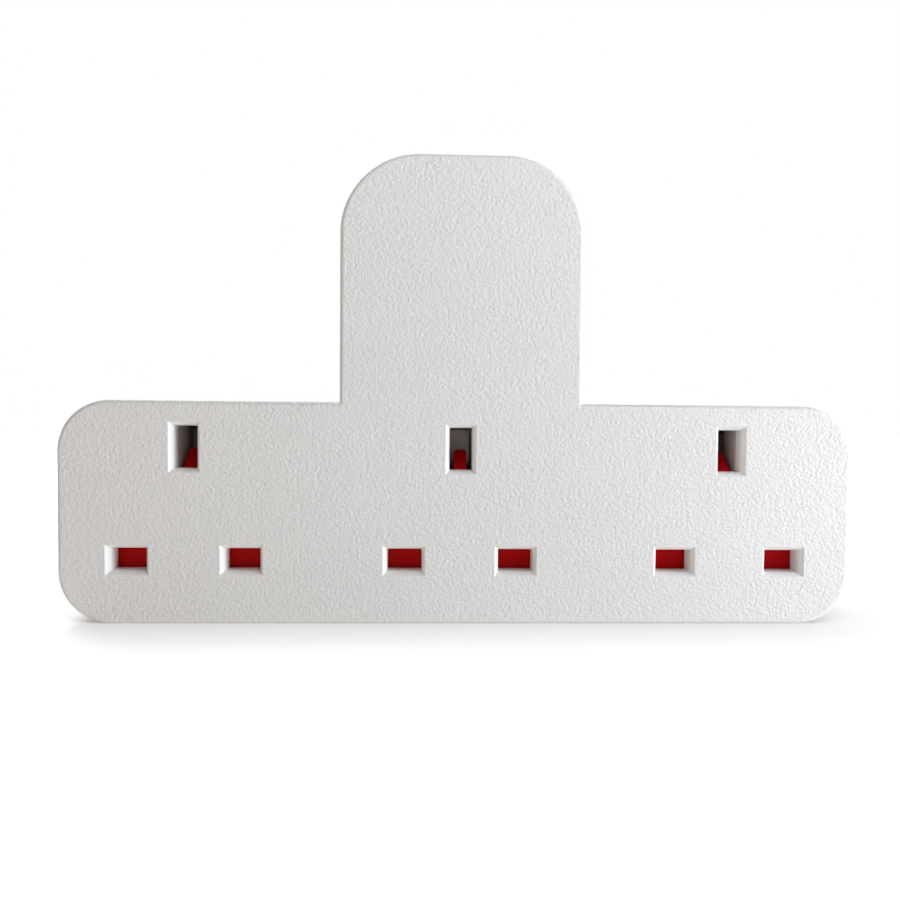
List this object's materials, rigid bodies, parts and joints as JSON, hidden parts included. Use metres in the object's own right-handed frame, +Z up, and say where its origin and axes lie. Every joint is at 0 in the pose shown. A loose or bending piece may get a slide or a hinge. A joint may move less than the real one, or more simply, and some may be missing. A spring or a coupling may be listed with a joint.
{
  "type": "multi socket adapter",
  "caption": "Tee-shaped mains adaptor: shuttered sockets side by side along a bar, with flat plug pins and a fuse carrier on the back of its stem.",
  "frame": {"origin": "back face of the body, at the middle of the pattern of the plug pins: halfway between the earth pin and the line of the live and neutral pins", "axes": "+Y into the wall along the plug pins, +X to the right as the sockets are seen, +Z up"},
  "size_m": [0.1574, 0.0497, 0.0926],
  "materials": {
    "white_body": "white moulded thermoplastic with a fine spark-eroded grain",
    "red_shutter": "smooth red moulded plastic",
    "guide_plastic": "dark insulating moulding",
    "contact_brass": "bright rolled brass strip",
    "plug_pin_brass": "drawn brass, lightly polished",
    "black_sleeve": "black insulating sleeve",
    "spring_steel": "drawn spring wire",
    "fuse_ceramic": "plain glazed ceramic tube",
    "fuse_cap_metal": "plated brass cap",
    "screw_steel": "zinc-plated steel"
  },
  "bodies": {
    "housing": {"front_cover": "white_body", "back_cover": "white_body", "shutter_spring_left": "spring_steel", "shutter_guide_left": "guide_plastic", "line_contact_left": "contact_brass", "neutral_contact_left": "contact_brass", "earth_contact_left": "contact_brass", "shutter_spring_middle": "spring_steel", "shutter_guide_middle": "guide_plastic", "line_contact_middle": "contact_brass", "neutral_contact_middle": "contact_brass", "earth_contact_middle": "contact_brass", "shutter_spring_right": "spring_steel", "shutter_guide_right": "guide_plastic", "line_contact_right": "contact_brass", "neutral_contact_right": "contact_brass", "earth_contact_right": "contact_brass", "line_bus": "contact_brass", "neutral_bus": "contact_brass", "earth_bus": "contact_brass", "fuse_clip_upper": "contact_brass", "fuse_clip_lower": "contact_brass", "line_pin": "plug_pin_brass", "neutral_pin": "plug_pin_brass", "earth_pin": "plug_pin_brass", "line_pin_sleeve": "black_sleeve", "neutral_pin_sleeve": "black_sleeve", "screw_stem_left": "screw_steel", "screw_stem_right": "screw_steel", "screw_bar_left": "screw_steel", "screw_bar_right": "screw_steel"},
    "left_shutter": {"shutter_left": "red_shutter"},
    "middle_shutter": {"shutter_middle": "red_shutter"},
    "right_shutter": {"shutter_right": "red_shutter"},
    "fuse_drawer": {"fuse_carrier": "white_body", "fuse_body": "fuse_ceramic", "fuse_caps": "fuse_cap_metal"}
  },
  "joints": [
    {"name": "left_shutter_slide", "type": "slide", "parent": "housing", "child": "left_shutter", "axis": [0, 0, -1], "range_m": [0, 0.0048], "stiffness_N_per_m": 200, "springref_m": -0.005, "deforming": ["shutter_spring_left"]},
    {"name": "middle_shutter_slide", "type": "slide", "parent": "housing", "child": "middle_shutter", "axis": [0, 0, -1], "range_m": [0, 0.0048], "stiffness_N_per_m": 200, "springref_m": -0.005, "deforming": ["shutter_spring_middle"]},
    {"name": "right_shutter_slide", "type": "slide", "parent": "housing", "child": "right_shutter", "axis": [0, 0, -1], "range_m": [0, 0.0048], "stiffness_N_per_m": 200, "springref_m": -0.005, "deforming": ["shutter_spring_right"]},
    {"name": "fuse_drawer_slide", "type": "slide", "parent": "housing", "child": "fuse_drawer", "axis": [0, 1, 0], "range_m": [0, 0.015]}
  ]
}
